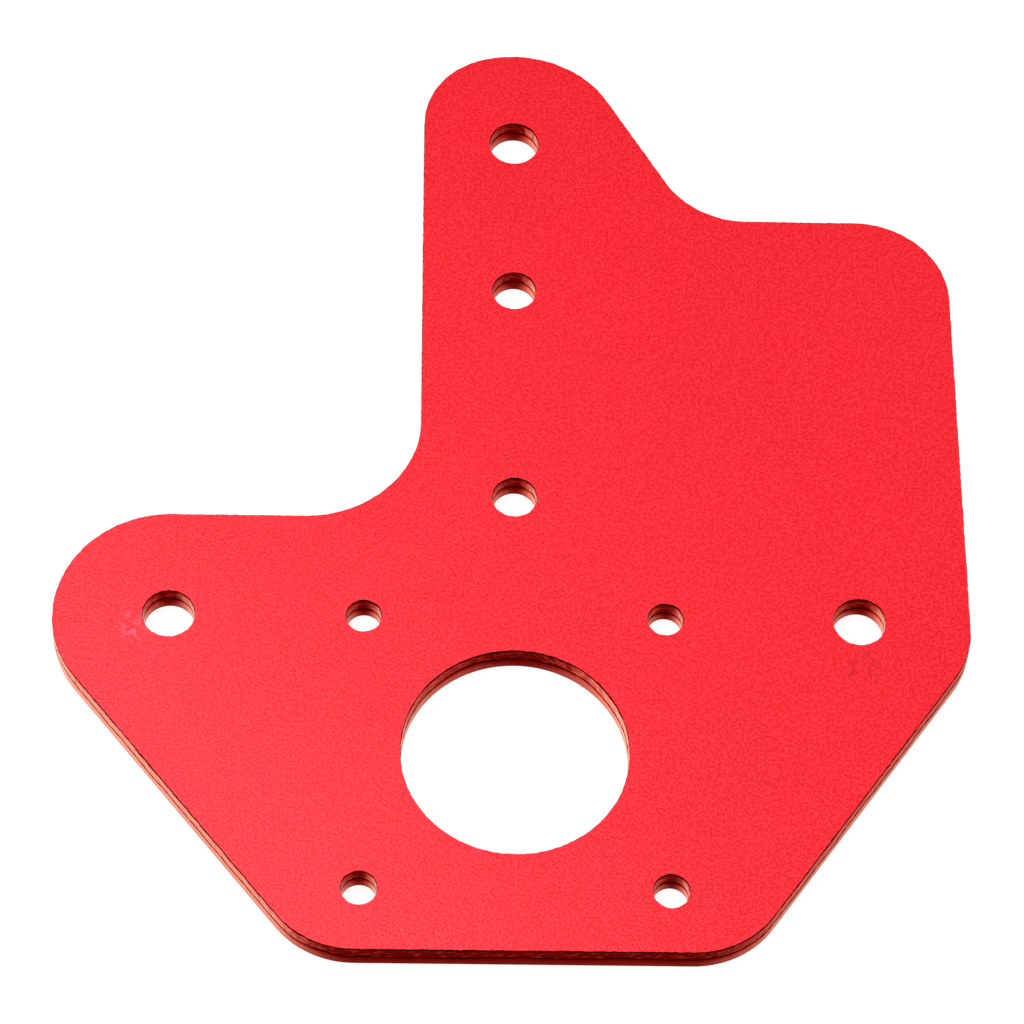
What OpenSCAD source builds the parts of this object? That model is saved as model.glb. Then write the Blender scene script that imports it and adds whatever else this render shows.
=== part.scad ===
// A flat motor plate for a machine's gantry, cut from one sheet. It carries a motor on a
// square of four screws round an open boss hole, and it runs on three grooved wheels: two
// on a level line through the motor's upper screws, and one at the top of the arm.
// The origin is on the motor's axis at the back face. +Y points up the arm, and +Z
// points out of the front face.

/* [Sheet] */
// Thickness of the sheet
thickness = 3.2; // [2:0.1:6]

/* [Motor] */
// Side of the square that the four motor screws sit on
motor_pitch = 31; // [24:0.5:40]
// Diameter of each motor screw hole
motor_screw_d = 3.5; // [2.5:0.1:5.5]
// Diameter of the open hole for the motor's boss and pulley
motor_bore_d = 23; // [10:0.5:30]

/* [Wheels] */
// Distance between the two lower wheel holes
wheel_span = 71; // [56:0.5:100]
// Distance from the lower wheels' line up to the top wheel hole
wheel_gauge = 60; // [48:0.5:90]
// Diameter of each wheel hole
wheel_hole_d = 5.2; // [3:0.1:8]

/* [Bracket] */
// Height of the lower bracket hole above the motor's axis
bracket_rise = 30; // [26:0.5:36]
// Distance between the two bracket holes
bracket_pitch = 26; // [12:0.5:32]
// Diameter of each bracket hole
bracket_hole_d = 4.5; // [3:0.1:6.5]

/* [Edges] */
// Radius of the sheet round the left wheel hole and round the top wheel hole
lobe_r = 12; // [10:0.1:15]
// Distance from the motor's axis to the arm's left edge
arm_left = 9.9; // [7:0.1:11.5]
// Distance from the right wheel hole to the right edge
right_margin = 11.5; // [7:0.1:16]
// Distance from the top wheel hole down to the shoulder's flat top
shoulder_drop = 9.9; // [6:0.1:14]
// Distance from the lower motor screws to the bottom edge
bottom_margin = 6.8; // [4:0.1:12]
// Lean of the arm's sloping right edge, in degrees from the arm's own direction
arm_lean = 30; // [15:1:45]

/* [Corners] */
// Radius of the four outer corners
corner_r = 10; // [5:0.5:12]
// Radius that rounds the arm's left edge into its top
arm_corner_r = 9; // [5:0.5:10]
// Radius of the hollow between the left wheel's lobe and the arm
armpit_r = 12; // [5:0.5:16]
// Radius of the hollow between the arm's slope and the shoulder
shoulder_hollow_r = 10; // [4:0.5:12]
// How far the bottom left corner's centre sits outside the motor screw
foot_left_out = 0.4; // [0:0.1:6]
// How far the bottom right corner's centre sits outside the motor screw
foot_right_out = 2.1; // [0:0.1:6]
// How far the right corner's centre sits below the wheel hole
right_corner_drop = 0.6; // [0:0.1:8]

/* [Hidden] */
$fn = 96;
// How far a hole's cutter stands out of each face
clear = 1;
// How far a flat's end sits inside the arc it meets, so that the two cross in a clean edge
bite = 0.0005;

motor_half = motor_pitch / 2;
wheel_half = wheel_span / 2;
top_wheel_y = motor_half + wheel_gauge;
right_edge = wheel_half + right_margin;
shoulder_y = top_wheel_y - shoulder_drop;
foot_y = -motor_half - bottom_margin + corner_r;

// The corner at the top left of the arm lies inside the top lobe and just crosses its edge.
arm_corner_x = arm_corner_r - arm_left;
arm_corner_reach = lobe_r - arm_corner_r + bite;
arm_corner_y = top_wheel_y + sqrt(pow(arm_corner_reach, 2) - pow(arm_corner_x, 2));

// The hollow beside the arm touches the shoulder's top and the arm's slope.
hollow_y = shoulder_y + shoulder_hollow_r;
hollow_x = (lobe_r + shoulder_hollow_r - (hollow_y - top_wheel_y) * sin(arm_lean)) / cos(arm_lean);

// The arcs of the outline in order, anticlockwise, as [centre x, centre y, radius].
// A corner has a positive radius and its centre in the sheet. A hollow's is negative.
TOP_LOBE = [0, top_wheel_y, lobe_r];
ARM_CORNER = [arm_corner_x, arm_corner_y, arm_corner_r];
ARCS = [
    [-motor_half - foot_left_out, foot_y, corner_r],
    [motor_half + foot_right_out, foot_y, corner_r],
    [right_edge - corner_r, motor_half - right_corner_drop, corner_r],
    [right_edge - corner_r, shoulder_y - corner_r, corner_r],
    [hollow_x, hollow_y, -shoulder_hollow_r],
    TOP_LOBE,
    ARM_CORNER,
    [-arm_left - armpit_r, motor_half + lobe_r + armpit_r, -armpit_r],
    [-wheel_half, motor_half, lobe_r]
];

function unit(angle) = [cos(angle), sin(angle)];
function centre(arc) = [arc.x, arc.y];

// Direction from one arc's centre to another's
function bearing(a, b) = atan2(b.y - a.y, b.x - a.x);

// Direction in which the flat from arc a to arc b faces
function facing(a, b) = bearing(a, b) - acos((a.z - b.z) / norm(centre(b) - centre(a)));

// Where a flat that faces this way meets an arc, moved in by the bite
function meeting(arc, angle) = centre(arc) + (arc.z - sign(arc.z) * bite) * unit(angle);

// The ends of every flat in order, with a hollow's centre between its two flats
function flats(arcs) = [
    for (i = [0 : len(arcs) - 1])
        let (a = arcs[i], b = arcs[(i + 1) % len(arcs)])
        each concat(
            a.z < 0 ? [centre(a)] : [],
            [meeting(a, facing(a, b)), meeting(b, facing(a, b))]
        )
];

module disc(arc) {
    translate(centre(arc)) circle(r = abs(arc.z));
}

// The top lobe, from its right side round to the arm's corner
module top_lobe() {
    end = bearing(TOP_LOBE, ARM_CORNER);
    intersection() {
        disc(TOP_LOBE);
        translate(centre(TOP_LOBE))
            polygon([[0, 0], for (angle = [0, end / 2, end]) 2 * lobe_r * unit(angle)]);
    }
}

module outline() {
    difference() {
        union() {
            polygon(flats(ARCS));
            top_lobe();
            for (arc = ARCS)
                if (arc.z > 0 && arc != TOP_LOBE) disc(arc);
        }
        for (arc = ARCS)
            if (arc.z < 0) disc(arc);
    }
}

// A round hole through the sheet at each of the places
module holes(places, d) {
    for (place = places)
        translate([place.x, place.y, -clear])
            cylinder(d = d, h = thickness + 2 * clear);
}

module motor_plate() {
    color([0.86, 0.13, 0.17])
        difference() {
            linear_extrude(thickness) outline();
            holes([[0, 0]], motor_bore_d);
            holes([for (x = [-1, 1], y = [-1, 1]) motor_half * [x, y]], motor_screw_d);
            holes([[-wheel_half, motor_half], [wheel_half, motor_half]], wheel_hole_d);
            holes([[0, top_wheel_y]], wheel_hole_d);
            holes([for (i = [0, 1]) [0, bracket_rise + i * bracket_pitch]], bracket_hole_d);
        }
}

motor_plate();
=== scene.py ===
import math

import bpy
from bpy.props import FloatProperty, FloatVectorProperty, PointerProperty
from mathutils import Matrix, Vector
from mathutils.kdtree import KDTree


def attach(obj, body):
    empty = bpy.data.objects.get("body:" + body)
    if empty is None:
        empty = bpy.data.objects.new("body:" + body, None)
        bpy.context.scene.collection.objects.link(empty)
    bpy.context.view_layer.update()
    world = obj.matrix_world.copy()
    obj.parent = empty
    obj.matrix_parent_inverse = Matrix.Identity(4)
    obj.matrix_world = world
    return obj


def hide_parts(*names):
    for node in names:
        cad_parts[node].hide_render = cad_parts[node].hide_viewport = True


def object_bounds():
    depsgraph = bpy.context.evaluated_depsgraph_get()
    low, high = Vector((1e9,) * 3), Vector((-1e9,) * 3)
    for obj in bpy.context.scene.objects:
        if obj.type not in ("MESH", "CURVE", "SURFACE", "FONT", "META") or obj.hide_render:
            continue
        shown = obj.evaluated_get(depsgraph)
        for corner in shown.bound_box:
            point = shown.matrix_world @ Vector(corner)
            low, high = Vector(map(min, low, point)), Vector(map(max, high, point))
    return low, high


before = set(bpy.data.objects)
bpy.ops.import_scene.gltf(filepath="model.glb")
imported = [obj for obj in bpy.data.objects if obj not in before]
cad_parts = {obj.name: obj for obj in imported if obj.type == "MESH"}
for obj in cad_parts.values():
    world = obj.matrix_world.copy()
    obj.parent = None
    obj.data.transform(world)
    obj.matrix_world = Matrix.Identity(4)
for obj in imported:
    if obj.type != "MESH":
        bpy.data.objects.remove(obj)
CAD_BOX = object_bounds()

bl_info = {
    "name": "Stamped Motor Plate",
    "version": (1, 0, 0),
    "blender": (4, 5, 0),
    "location": "View3D > Sidebar > Motor Plate",
    "description": "Finishes a stamped, anodised motor plate and sets it on a studio floor",
    "category": "Object",
}

MM = 0.001
PLATE_NODE = "motor_plate"
BOTTOM = CAD_BOX[0][2]
TOP = CAD_BOX[1][2]
THICKNESS = TOP - BOTTOM
# Two heights nearer than LEVEL are the same height, and two places nearer than CLOSE are one place.
LEVEL = 0.01 * MM
CLOSE = 0.002 * MM
# The vertex attribute that holds how far round its outline each vertex is.
ALONG = "along"
# The plate's material slots, in order; the third holds the painted shade of the crease and the lip.
FACE, LAND, PAINTED_SHADE, TORN = range(4)
SCUFF_AT = (-39.0 * MM, 14.0 * MM, TOP)
SCUFF_RADIUS = 2.4 * MM
STAIN_AT = (35.6 * MM, 10.0 * MM, TOP)
STAIN_RADIUS = 2.6 * MM
# The ridges of the torn band lean this far from the line of the edge.
RIDGE_SLANT = math.radians(14)
# Neighbouring faces that meet at less than this are shaded as one curve.
SMOOTH_ANGLE = math.radians(60)


def linear(hex_colour, alpha=1.0):
    """An sRGB hex colour as linear light, with its alpha."""
    channels = []
    for start in (1, 3, 5):
        value = int(hex_colour[start:start + 2], 16) / 255
        channels.append(value / 12.92 if value <= 0.04045 else ((value + 0.055) / 1.055) ** 2.4)
    return (*channels, alpha)


def per_size(size):
    """The scale of a noise whose features are this big, in metres."""
    return 1 / size


# ---------------------------------------------------------------------------
# Sizes and colours
# ---------------------------------------------------------------------------

def length(name, description, default):
    return FloatProperty(name=name, description=description, default=default, min=0.0,
                         precision=5, unit="LENGTH")


def colour(name, description, default):
    return FloatVectorProperty(name=name, description=description, size=3, min=0.0, max=1.0,
                               default=linear(default)[:3], subtype="COLOR")


class EdgeSizes(bpy.types.PropertyGroup):
    """Sizes of the sheared edge that stamping leaves all round the sheet"""

    sample: length("Sample", "Longest step along the edge", 0.30 * MM)
    rollover: length("Rollover", "Radius that the punch pulls in at the back face", 0.15 * MM)
    land: length("Land", "Height of the smooth burnished land above the back face", 1.45 * MM)
    crease: length("Crease", "Height of the crease between the land and the torn band", 0.22 * MM)
    crease_depth: length("Crease depth", "How far the crease is cut in", 0.11 * MM)
    taper: length("Taper", "How far the torn band leans in at the front face", 0.04 * MM)
    tear: length("Tear", "Height of the torn band's ridges", 0.07 * MM)
    tear_width: length("Tear width", "Width of one ridge", 0.45 * MM)
    wander: length("Wander", "How far the crease rises and falls", 0.34 * MM)
    wander_length: length("Wander length", "Length of one rise of the crease", 4.0 * MM)
    lip: length("Lip", "Height of the dark lip between the torn band and the front rim", 0.20 * MM)
    rim: length("Rim", "Rounding of the front rim", 0.05 * MM)
    spare: length("Spare", "How far all of the edge stays inside the CAD solid", 0.010 * MM)


class DyeColours(bpy.types.PropertyGroup):
    """Colours that the dye has on each surface, and the painted shade in the crease and on the lip"""

    face: colour("Face", "Blasted face", "#ff2c3e")
    face_deep: colour("Face, deep", "Pits in the blasted face", "#f4000c")
    scuff: colour("Scuff", "Dye rubbed thin beside the left wheel's hole", "#ff9cb4")
    stain: colour("Stain", "Dye gathered below the right wheel's hole", "#c4000c")
    land: colour("Land", "Burnished land", "#c41e10")
    torn: colour("Torn", "Torn band", "#b81410")
    torn_bare: colour("Torn, bare", "Ridges where the dye is thin", "#f47c66")
    # The crease colour is painted shade: a near-black red laid in the crease and on the lip, where
    # shade falls.
    crease: colour("Crease", "Dye that gathers in the crease", "#4a0804")


class StageSettings(bpy.types.PropertyGroup):
    """The camera, the floor and the lights"""

    azimuth: FloatProperty(name="Azimuth", description="Camera's direction round the plate",
                           default=math.radians(2.70), subtype="ANGLE")
    elevation: FloatProperty(name="Elevation", description="Camera's height above the floor",
                             default=math.radians(58.74), subtype="ANGLE")
    roll: FloatProperty(name="Roll", description="Camera's turn about its own axis",
                        default=math.radians(3.07), subtype="ANGLE")
    distance: length("Distance", "From the camera to its aim", 454.2 * MM)
    lens: FloatProperty(name="Lens", description="Focal length on a 36 mm sensor, in millimetres",
                        default=153.25, min=10.0)
    floor_grey: FloatProperty(name="Floor", description="Reflectance of the floor", default=0.35,
                              min=0.0, max=1.0, subtype="FACTOR")
    floor_glow: FloatProperty(name="Floor glow", description="Light that comes up through the floor",
                              default=0.92, min=0.0)


# ---------------------------------------------------------------------------
# Materials
# ---------------------------------------------------------------------------

def add_node(tree, kind, inputs=(), **settings):
    """Adds a node, sets it, and fills its inputs with values or with other nodes' outputs."""
    node = tree.nodes.new(kind)
    for name, value in settings.items():
        setattr(node, name, value)
    for key, value in dict(inputs).items():
        if isinstance(value, bpy.types.NodeSocket):
            tree.links.new(value, node.inputs[key])
        else:
            node.inputs[key].default_value = value
    return node


def new_material(name):
    material = bpy.data.materials.new(name)
    material.use_nodes = True
    material.node_tree.nodes.clear()
    return material, material.node_tree


def finish_material(tree, shader):
    add_node(tree, "ShaderNodeOutputMaterial", {"Surface": shader.outputs["BSDF"]})


def band(tree, value, low, high, out_low=0.0, out_high=1.0):
    """Maps a value from low..high to another range, and stops at the ends."""
    node = add_node(tree, "ShaderNodeMapRange", {
        "Value": value, "From Min": low, "From Max": high, "To Min": out_low, "To Max": out_high,
    }, clamp=True)
    return node.outputs["Result"]


def mixed(tree, factor, first, second):
    node = add_node(tree, "ShaderNodeMix", {0: factor, 6: first, 7: second}, data_type="RGBA")
    return node.outputs[2]


def grain(tree, place, size, detail=2.0, roughness=0.5):
    """Noise with features of a real size, in metres."""
    node = add_node(tree, "ShaderNodeTexNoise", {
        "Vector": place, "Scale": per_size(size), "Detail": detail, "Roughness": roughness,
    })
    return node.outputs["Fac"]


def object_place(tree, stretch=(1.0, 1.0, 1.0)):
    coordinates = add_node(tree, "ShaderNodeTexCoord").outputs["Object"]
    if stretch == (1.0, 1.0, 1.0):
        return coordinates
    mapping = add_node(tree, "ShaderNodeMapping", {"Vector": coordinates, "Scale": stretch})
    return mapping.outputs["Vector"]


def patch(tree, place, centre, radius, most):
    """A blotchy patch round a place, from 0 at its rim to at most this much."""
    blotch = 0.6 * MM
    full_inside = 0.3 * radius
    apart = add_node(tree, "ShaderNodeVectorMath", {0: place, 1: centre}, operation="DISTANCE")
    inside = band(tree, apart.outputs["Value"], radius, full_inside)
    blotches = band(tree, grain(tree, place, blotch), 0.52, 0.62, 0.0, most)
    both = add_node(tree, "ShaderNodeMath", {0: inside, 1: blotches}, operation="MULTIPLY")
    return both.outputs[0]


def edge_place(tree, stretch):
    """Distance round the outline and height, for streaks this many times as long as they are wide."""
    distance = add_node(tree, "ShaderNodeAttribute", attribute_name=ALONG).outputs["Fac"]
    height = add_node(tree, "ShaderNodeSeparateXYZ", {"Vector": object_place(tree)}).outputs["Z"]
    unrolled = add_node(tree, "ShaderNodeCombineXYZ", {"X": distance, "Y": height}).outputs["Vector"]
    mapping = add_node(tree, "ShaderNodeMapping", {
        "Vector": unrolled, "Rotation": (0, 0, RIDGE_SLANT), "Scale": (stretch, 1, 1),
    }, vector_type="TEXTURE")
    return mapping.outputs["Vector"]


def blasted_face(dye):
    """Aluminium blasted with glass beads, anodised and dyed red: matt, with a fine pebbled grain."""
    material, tree = new_material("anodised_aluminium_bead_blasted")
    place = object_place(tree)
    # Beads leave dents about 0.1 mm wide. These dents and specks are drawn coarser, so that they show.
    dent, speck = 0.27 * MM, 0.16 * MM
    # The blasting is a little uneven from place to place, which changes the gloss and not the colour.
    uneven = 14 * MM
    pits = grain(tree, place, dent, detail=1.0)
    cloud = grain(tree, place, uneven)
    fine = grain(tree, place, speck, detail=1.0)
    depth = band(tree, pits, 0.40, 0.60)
    dyed = mixed(tree, depth, (*dye.face_deep, 1.0), (*dye.face, 1.0))
    scuff = patch(tree, place, SCUFF_AT, SCUFF_RADIUS, 0.25)
    scuffed = mixed(tree, scuff, dyed, (*dye.scuff, 1.0))
    stain = patch(tree, place, STAIN_AT, STAIN_RADIUS, 0.5)
    colour_here = mixed(tree, stain, scuffed, (*dye.stain, 1.0))
    bump = add_node(tree, "ShaderNodeBump", {
        "Strength": 0.35, "Distance": 0.06 * MM, "Height": pits,
    })
    fine_bump = add_node(tree, "ShaderNodeBump", {
        "Strength": 0.25, "Distance": 0.02 * MM, "Height": fine, "Normal": bump.outputs["Normal"],
    })
    shader = add_node(tree, "ShaderNodeBsdfPrincipled", {
        "Base Color": colour_here,
        "Metallic": 1.0,
        "Roughness": band(tree, cloud, 0.3, 0.7, 0.57, 0.63),
        "Normal": fine_bump.outputs["Normal"],
        "Coat Weight": 0.68,
        "Coat Roughness": 0.33,
        "Coat Normal": fine_bump.outputs["Normal"],
    })
    finish_material(tree, shader)
    return material


def burnished_land(dye):
    """The band that the punch rubbed smooth: glossy, with faint upright drag lines."""
    material, tree = new_material("anodised_aluminium_burnished")
    # Drag lines are under 0.1 mm wide. These are drawn coarser, so that they show.
    line = 0.22 * MM
    upright = (1.0, 1.0, 0.08)
    drag = grain(tree, object_place(tree, upright), line, detail=3.0)
    bump = add_node(tree, "ShaderNodeBump", {
        "Strength": 0.35, "Distance": 0.02 * MM, "Height": drag,
    })
    shader = add_node(tree, "ShaderNodeBsdfPrincipled", {
        "Base Color": (*dye.land, 1.0),
        "Metallic": 1.0,
        "Roughness": band(tree, drag, 0.3, 0.7, 0.36, 0.48),
        "Normal": bump.outputs["Normal"],
        "Coat Weight": 0.4,
        "Coat Roughness": 0.16,
        "Coat Normal": bump.outputs["Normal"],
    })
    finish_material(tree, shader)
    return material


def torn_band(dye):
    """The band where the sheet tore: rough slanting ridges, whose crests hold little dye and glint."""
    material, tree = new_material("anodised_aluminium_torn")
    # The ridges of a tear are 0.1 to 0.2 mm wide. These are drawn coarser, so that they show.
    ridge, times_as_long = 0.36 * MM, 3.2
    ridges = grain(tree, edge_place(tree, times_as_long), ridge, roughness=0.55)
    crest = band(tree, ridges, 0.55, 0.61)
    bump = add_node(tree, "ShaderNodeBump", {
        "Strength": 0.8, "Distance": 0.10 * MM, "Height": ridges,
    })
    shader = add_node(tree, "ShaderNodeBsdfPrincipled", {
        "Base Color": mixed(tree, crest, (*dye.torn, 1.0), (*dye.torn_bare, 1.0)),
        "Metallic": 1.0,
        "Roughness": band(tree, ridges, 0.3, 0.7, 0.36, 0.5),
        "Normal": bump.outputs["Normal"],
        "Coat Weight": 0.5,
        "Coat Roughness": 0.2,
        "Coat Normal": bump.outputs["Normal"],
    })
    finish_material(tree, shader)
    return material


def crease_and_lip_painted_shade(dye):
    """The crease under the tear and the lip above it, painted dark and dull as shade, with their
    reflections darkened too.
    """
    material, tree = new_material("anodised_aluminium_creased")
    mottle = grain(tree, object_place(tree), 0.3 * MM)
    shader = add_node(tree, "ShaderNodeBsdfPrincipled", {
        "Base Color": (*dye.crease, 1.0),
        "Metallic": 1.0,
        "Specular Tint": (*dye.crease, 1.0),
        "Roughness": band(tree, mottle, 0.3, 0.7, 0.45, 0.65),
    })
    finish_material(tree, shader)
    return material


# ---------------------------------------------------------------------------
# The plate
# ---------------------------------------------------------------------------

def only(piece):
    """Makes this the one selected and active object."""
    bpy.ops.object.select_all(action="DESELECT")
    piece.select_set(True)
    bpy.context.view_layer.objects.active = piece


def edit(piece, mode):
    only(piece)
    bpy.ops.object.mode_set(mode="EDIT")
    bpy.ops.mesh.select_mode(type=mode)
    bpy.ops.mesh.select_all(action="DESELECT")


def leave_edit():
    bpy.ops.object.mode_set(mode="OBJECT")


def pick(piece, kind, test):
    """Selects the vertices, edges or polygons that pass a test, in edit mode. Returns how many."""
    leave_edit()
    mesh = piece.data
    for part in (mesh.vertices, mesh.edges, mesh.polygons):
        part.foreach_set("select", [False] * len(part))
    chosen = [item for item in getattr(mesh, kind) if test(mesh, item)]
    for item in chosen:
        item.select = True
    bpy.ops.object.mode_set(mode="EDIT")
    return len(chosen)


def ends(mesh, edge):
    return [mesh.vertices[index].co for index in edge.vertices]


def is_level(mesh, edge):
    first, second = ends(mesh, edge)
    return abs(first.z - second.z) < LEVEL


def edge_length(mesh, edge):
    first, second = ends(mesh, edge)
    return (first - second).length


def faces_up_or_down(mesh, polygon):
    return abs(polygon.normal.z) > 0.9


def keep_the_walls(piece):
    """Takes the two flat faces off, and joins each pair of wall triangles."""
    edit(piece, "FACE")
    bpy.ops.mesh.select_all(action="SELECT")
    bpy.ops.mesh.remove_doubles(threshold=CLOSE)
    pick(piece, "polygons", faces_up_or_down)
    bpy.ops.mesh.delete(type="FACE")
    bpy.ops.mesh.select_mode(type="EDGE")

    def slants(mesh, edge):
        first, second = ends(mesh, edge)
        return abs(first.z - second.z) > LEVEL and (first - second).xy.length > CLOSE

    if pick(piece, "edges", slants):
        bpy.ops.mesh.dissolve_edges(use_verts=False)
    leave_edit()


def sample_the_edge(piece, step):
    """Splits the long flats first, and then all of the edge, following its curves."""
    edit(piece, "EDGE")
    flat_step = 2.2 * MM
    for longest, smoothness in ((flat_step, 0.0), (step, 1.0)):
        while pick(piece, "edges",
                   lambda mesh, edge: is_level(mesh, edge) and edge_length(mesh, edge) > longest):
            bpy.ops.mesh.subdivide(number_cuts=1, smoothness=smoothness)
    leave_edit()


def outlines(mesh):
    """The closed loops of vertices round the outline and round each hole, at the back face."""
    neighbours = {}
    for edge in mesh.edges:
        if is_level(mesh, edge) and ends(mesh, edge)[0].z - BOTTOM < LEVEL:
            first, second = edge.vertices
            neighbours.setdefault(first, []).append(second)
            neighbours.setdefault(second, []).append(first)
    while neighbours:
        here = min(neighbours)
        loop = []
        while here in neighbours:
            loop.append(here)
            onward = neighbours.pop(here)
            here = next((index for index in onward if index in neighbours), None)
        yield loop


def measure_along(piece):
    """Stores how far round its own outline each vertex is, for streaks that follow the edge."""
    mesh = piece.data
    nearest = KDTree(len(mesh.vertices))
    distances = {}
    for loop in outlines(mesh):
        places = [mesh.vertices[index].co for index in loop]
        onward = places[1:] + places[:1]
        turning = sum(first.xy.cross(second.xy) for first, second in zip(places, onward))
        if turning < 0:
            loop.reverse()
            places.reverse()
        distance = 0.0
        for index, place, before in zip(loop, places, places[:1] + places):
            distance += (place - before).length
            distances[index] = distance
            nearest.insert((place.x, place.y, 0), index)
    nearest.balance()
    layer = mesh.attributes.new(ALONG, "FLOAT", "POINT")
    for vertex in mesh.vertices:
        _, index, _ = nearest.find((vertex.co.x, vertex.co.y, 0))
        layer.data[vertex.index].value = distances[index]


def edge_profile(sizes):
    """The rings up the wall, as (height, set back from the stamped size, share of the tear)."""
    rollover_steps = 4
    # The crease is deepest this share of its height up, and the lean has come this far at its top.
    deepest_at, lean_at_crease = 0.35, 0.4
    rings = []
    for step in range(rollover_steps + 1):
        angle = math.pi / 2 * step / rollover_steps
        height = sizes.rollover * (1 - math.cos(angle))
        rings.append((height, sizes.rollover * (1 - math.sin(angle)), 0))
    crease_top = sizes.land + sizes.crease
    rings += [
        (sizes.land, 0, 0),
        (sizes.land + sizes.crease * deepest_at, sizes.crease_depth, 0.2),
        (crease_top, sizes.taper * lean_at_crease, 0.6),
    ]
    torn_height = THICKNESS - sizes.rim - sizes.lip - crease_top
    for share in (0.33, 0.67, 1.0):
        lean = sizes.taper * (lean_at_crease + (1 - lean_at_crease) * share)
        rings.append((crease_top + share * torn_height, lean, 1))
    # The front rim is rounded in two steps.
    rings += [
        (THICKNESS - sizes.rim, sizes.taper, 1),
        (THICKNESS - sizes.rim * 0.4, sizes.taper + sizes.rim * 0.35, 1),
        (THICKNESS, sizes.taper + sizes.rim, 1),
    ]
    return [(height, back + sizes.spare, tear) for height, back, tear in rings]


def cut_rings(piece, rings):
    """Cuts the wall at every ring between the two rims."""
    edit(piece, "EDGE")
    for height, _, _ in rings[1:-1]:
        bpy.ops.mesh.select_all(action="SELECT")
        bpy.ops.mesh.bisect(plane_co=(0, 0, BOTTOM + height), plane_no=(0, 0, 1))
    leave_edit()


def paint_zones(piece, sizes, dye):
    """Gives the land, the crease, the torn band and the lip their materials; the crease and the lip
    get the painted shade.
    """
    piece.data.materials.clear()
    for material in (blasted_face(dye), burnished_land(dye), crease_and_lip_painted_shade(dye), torn_band(dye)):
        piece.data.materials.append(material)
    crease_top = sizes.land + sizes.crease
    lip_bottom = THICKNESS - sizes.rim - sizes.lip
    zones = (
        (LAND, 0, sizes.land),
        # The crease and the lip under the front rim are painted dark as shade.
        (PAINTED_SHADE, sizes.land, crease_top),
        (TORN, crease_top, lip_bottom),
        (PAINTED_SHADE, lip_bottom, THICKNESS - sizes.rim),
    )
    edit(piece, "FACE")
    for slot, low, high in zones:
        pick(piece, "polygons", lambda mesh, polygon: low < polygon.center.z - BOTTOM < high)
        piece.active_material_index = slot
        bpy.ops.object.material_slot_assign()
    leave_edit()


def weigh(piece, name, rings, value):
    """A vertex group whose weight is a function of the ring that each vertex is on."""
    group = piece.vertex_groups.new(name=name)
    for ring in rings:
        here = [vertex.index for vertex in piece.data.vertices
                if abs(vertex.co.z - BOTTOM - ring[0]) < CLOSE]
        if value(ring):
            group.add(here, value(ring), "REPLACE")
    return name


def pick_group(piece, group):
    """Selects the vertices of a group, and the edges between them, in edit mode."""
    edit(piece, "VERT")
    piece.vertex_groups.active = piece.vertex_groups[group]
    bpy.ops.object.vertex_group_select()
    bpy.ops.mesh.select_mode(type="EDGE")


def noise_texture(name, detail):
    """Noise with features one unit wide, which displace() scales to a real size."""
    texture = bpy.data.textures.new(name, "CLOUDS")
    texture.noise_scale = 1.0
    texture.noise_depth = detail
    return texture


def displace(piece, group, strength, axis, mid_level=0.0, texture=None, size=None):
    """Moves a group's vertices, by its weights alone or by noise of a real size, and applies it."""
    only(piece)
    modifier = piece.modifiers.new("shape", "DISPLACE")
    modifier.vertex_group = group
    modifier.direction = axis
    modifier.strength = strength
    modifier.mid_level = mid_level
    grid = None
    if texture:
        bpy.ops.object.empty_add(location=(0, 0, 0))
        grid = bpy.context.object
        grid.scale = size
        bpy.context.view_layer.update()
        modifier.texture = texture
        modifier.texture_coords = "OBJECT"
        modifier.texture_coords_object = grid
        only(piece)
    bpy.ops.object.modifier_apply(modifier=modifier.name)
    if grid:
        bpy.data.objects.remove(grid)


def shape_the_edge(piece, rings, sizes):
    """Roughens the torn band, sets each ring back to its place, and makes the crease wander."""
    deepest = max(back for _, back, _ in rings)
    crease_top = sizes.land + sizes.crease
    torn = weigh(piece, "torn", rings, lambda ring: ring[2])
    set_back = weigh(piece, "set_back", rings, lambda ring: ring[1] / deepest)
    lip_bottom = THICKNESS - sizes.rim - sizes.lip

    def wandering(ring):
        """All of the crease's rise and fall, and half as much for the lip."""
        if abs(ring[0] - lip_bottom) < CLOSE:
            return 0.5
        return 1.0 if sizes.land <= ring[0] <= crease_top else 0.0

    near_crease = weigh(piece, "near_crease", rings, wandering)
    # The noise keeps to about the middle half of its range, so its strength is twice the height.
    # The torn ridges run up the edge, and go in further than out.
    width, span, times_as_tall, mostly_inward = sizes.tear_width, sizes.wander_length, 4, 0.6
    displace(piece, torn, sizes.tear * 2, "NORMAL", mostly_inward, noise_texture("torn_ridges", 2),
             (width, width, width * times_as_tall))
    displace(piece, set_back, -deepest, "NORMAL")
    displace(piece, near_crease, sizes.wander * 2, "Z", 0.5, noise_texture("crease_wander", 1),
             (span, span, 1.0))


def close_the_face(piece, rim, height):
    """Levels the rims at one height and fills the face between the outer rim and the holes' rims."""
    pick_group(piece, rim)
    bpy.ops.transform.resize(value=(1, 1, 0), center_override=(0, 0, height))
    bpy.ops.mesh.mark_sharp()
    bpy.ops.mesh.fill(use_beauty=True)
    piece.active_material_index = FACE
    bpy.ops.object.material_slot_assign()
    leave_edit()


def finish_the_mesh(piece):
    edit(piece, "FACE")
    bpy.ops.mesh.select_all(action="SELECT")
    bpy.ops.mesh.normals_make_consistent(inside=False)
    leave_edit()
    piece.vertex_groups.clear()
    bpy.ops.object.shade_smooth_by_angle(angle=SMOOTH_ANGLE, keep_sharp_edges=True)


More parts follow.
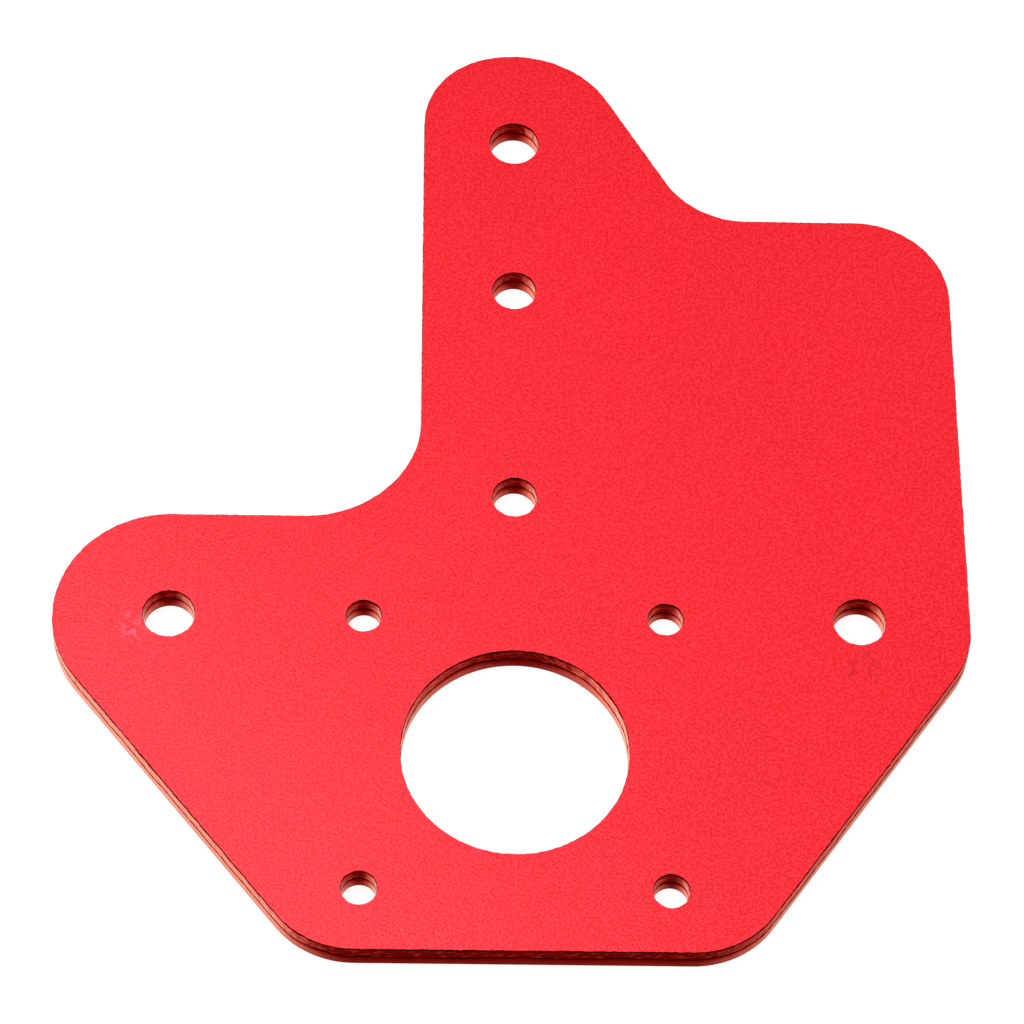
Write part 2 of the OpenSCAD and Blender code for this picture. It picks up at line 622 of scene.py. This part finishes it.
class PLATE_OT_motor_plate(bpy.types.Operator):
    """Finishes the plate from its CAD solid: sheared edges, dyed faces and torn rims"""

    bl_idname = "motor_plate.finish_plate"
    bl_label = "Finish the motor plate"

    def execute(self, context):
        sizes = context.scene.plate_edge
        dye = context.scene.plate_dye
        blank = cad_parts[PLATE_NODE]
        piece = bpy.data.objects.new("stamped_motor_plate", blank.data.copy())
        context.collection.objects.link(piece)
        rings = edge_profile(sizes)
        keep_the_walls(piece)
        sample_the_edge(piece, sizes.sample)
        measure_along(piece)
        cut_rings(piece, rings)
        paint_zones(piece, sizes, dye)
        back_rim = weigh(piece, "back_rim", rings[:1], lambda ring: 1.0)
        front_rim = weigh(piece, "front_rim", rings[-1:], lambda ring: 1.0)
        shape_the_edge(piece, rings, sizes)
        close_the_face(piece, back_rim, BOTTOM)
        close_the_face(piece, front_rim, TOP)
        finish_the_mesh(piece)
        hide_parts(PLATE_NODE)
        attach(piece, "root")
        return {"FINISHED"}


# ---------------------------------------------------------------------------
# The stage
# ---------------------------------------------------------------------------

def direction(azimuth, elevation):
    """From the plate towards a place round it. Azimuth 0 is on the -Y side."""
    return Vector((-math.sin(azimuth) * math.cos(elevation),
                   -math.cos(azimuth) * math.cos(elevation), math.sin(elevation)))


def facing_along(view, roll=0.0):
    """The rotation of a camera or lamp that looks along a direction."""
    return view.to_track_quat("-Z", "Y").to_matrix().to_4x4() @ Matrix.Rotation(roll, 4, "Z")


def add_camera(settings, aim):
    outward = direction(settings.azimuth, settings.elevation)
    bpy.ops.object.camera_add()
    camera = bpy.context.object
    camera.name = "camera"
    camera.matrix_world = (Matrix.Translation(aim + outward * settings.distance)
                           @ facing_along(-outward, settings.roll))
    camera.data.lens = settings.lens
    camera.data.clip_start = 0.01
    camera.data.dof.use_dof = False
    bpy.context.scene.camera = camera


# Name, degrees round the plate, degrees above the floor, sides in metres, watts and tint.
SOFTBOXES = (
    ("softbox_high", 135, 70, (0.45, 0.45), 3.9, "#fff2ff"),
    ("softbox_back", 225, 30, (0.6, 0.6), 2.4, "#ffffff"),
    ("softbox_left", 90, 12, (0.9, 0.5), 1.8, "#ffffff"),
    ("softbox_front", 0, 12, (0.9, 0.5), 1.8, "#ffffff"),
)
SOFTBOX_DISTANCE = 0.9


def add_softbox(aim, name, azimuth, elevation, size, power, tint):
    """A flat lamp that faces the plate from a direction."""
    outward = direction(math.radians(azimuth), math.radians(elevation))
    bpy.ops.object.light_add(type="AREA")
    lamp = bpy.context.object
    lamp.name = name
    lamp.data.shape = "RECTANGLE"
    lamp.data.size, lamp.data.size_y = size
    lamp.data.energy = power
    lamp.data.color = linear(tint)[:3]
    lamp.matrix_world = Matrix.Translation(aim + outward * SOFTBOX_DISTANCE) @ facing_along(-outward)


def floor_material(settings):
    """Opal acrylic lit from below, as on a light table: plain white, with hardly a shadow."""
    material, tree = new_material("opal_acrylic_backlit")
    grey = settings.floor_grey
    shader = add_node(tree, "ShaderNodeBsdfPrincipled", {
        "Base Color": (grey, grey, grey, 1.0),
        "Roughness": 0.9,
        "Specular IOR Level": 0.2,
        "Emission Color": linear("#ffffff"),
        "Emission Strength": settings.floor_glow,
    })
    finish_material(tree, shader)
    return material


def studio_world():
    """What the edges mirror: dim and red in front, cream at the back and left, less at the right.

    The edges are seen from above, so they mirror what lies below the horizon. Above it, the world
    is an even, weak white.
    """
    world = bpy.data.worlds.new("studio")
    world.use_nodes = True
    tree = world.node_tree
    tree.nodes.clear()
    place = add_node(tree, "ShaderNodeTexCoord").outputs["Generated"]
    axes = add_node(tree, "ShaderNodeSeparateXYZ", {"Vector": place}).outputs
    across = add_node(tree, "ShaderNodeMath", {0: axes["X"]}, operation="ABSOLUTE")
    around = add_node(tree, "ShaderNodeMath", {0: across.outputs[0], 1: axes["Y"]}, operation="ADD")
    right_share = 0.35
    above, dimmest, brightest = 0.15, 0.22, 2.1
    bright = add_node(tree, "ShaderNodeMath", {
        0: band(tree, around.outputs[0], -0.1, 0.6),
        1: band(tree, axes["X"], 0.15, 0.5, 1.0, right_share),
    }, operation="MULTIPLY").outputs[0]
    below = band(tree, axes["Z"], 0.0, -0.05)
    lit = band(tree, below, 0.0, 1.0, above, band(tree, bright, 0.0, 1.0, dimmest, brightest))
    warm = mixed(tree, bright, linear("#ff3a28"), linear("#ffe4c8"))
    seen = add_node(tree, "ShaderNodeLightPath").outputs["Is Camera Ray"]
    strength = add_node(tree, "ShaderNodeMath", {0: lit, 1: seen}, operation="MAXIMUM")
    background = add_node(tree, "ShaderNodeBackground", {
        "Color": mixed(tree, below, linear("#ffffff"), warm), "Strength": strength.outputs[0],
    })
    add_node(tree, "ShaderNodeOutputWorld", {"Surface": background.outputs[0]})
    return world


class PLATE_OT_stage(bpy.types.Operator):
    """Adds the pale floor, the soft lights and the camera"""

    bl_idname = "motor_plate.add_stage"
    bl_label = "Add the studio stage"

    def execute(self, context):
        settings = context.scene.plate_stage
        # The place on the front face that the camera and the lamps face.
        aim = Vector((-0.28 * MM, 28.16 * MM, TOP))
        floor_side = 6.0
        floor_gap = 0.02 * MM
        bpy.ops.mesh.primitive_plane_add(size=floor_side, location=(0, 0, BOTTOM - floor_gap))
        floor = context.object
        floor.name = "floor"
        floor.data.materials.append(floor_material(settings))
        floor.visible_glossy = False
        context.scene.world = studio_world()
        for softbox in SOFTBOXES:
            add_softbox(aim, *softbox)
        context.scene.view_settings.view_transform = "Standard"
        context.scene.view_settings.look = "None"
        add_camera(settings, aim)
        return {"FINISHED"}


# ---------------------------------------------------------------------------
# The add-on
# ---------------------------------------------------------------------------

class PLATE_PT_panel(bpy.types.Panel):
    """The plate's sizes, colours and steps in the 3D view's sidebar"""

    bl_idname = "PLATE_PT_panel"
    bl_label = "Motor Plate"
    bl_space_type = "VIEW_3D"
    bl_region_type = "UI"
    bl_category = "Motor Plate"

    def draw(self, context):
        for settings in (context.scene.plate_edge, context.scene.plate_dye, context.scene.plate_stage):
            box = self.layout.box()
            for name in settings.__annotations__:
                box.prop(settings, name)
        for operator in STEPS:
            self.layout.operator(operator.bl_idname)


STEPS = (PLATE_OT_motor_plate, PLATE_OT_stage)
CLASSES = (EdgeSizes, DyeColours, StageSettings, *STEPS, PLATE_PT_panel)


def register():
    for cls in CLASSES:
        bpy.utils.register_class(cls)
    bpy.types.Scene.plate_edge = PointerProperty(type=EdgeSizes)
    bpy.types.Scene.plate_dye = PointerProperty(type=DyeColours)
    bpy.types.Scene.plate_stage = PointerProperty(type=StageSettings)


def unregister():
    del bpy.types.Scene.plate_stage
    del bpy.types.Scene.plate_dye
    del bpy.types.Scene.plate_edge
    for cls in reversed(CLASSES):
        bpy.utils.unregister_class(cls)


def main():
    register()
    bpy.ops.motor_plate.finish_plate()
    bpy.ops.motor_plate.add_stage()


if __name__ == "__main__":
    main()
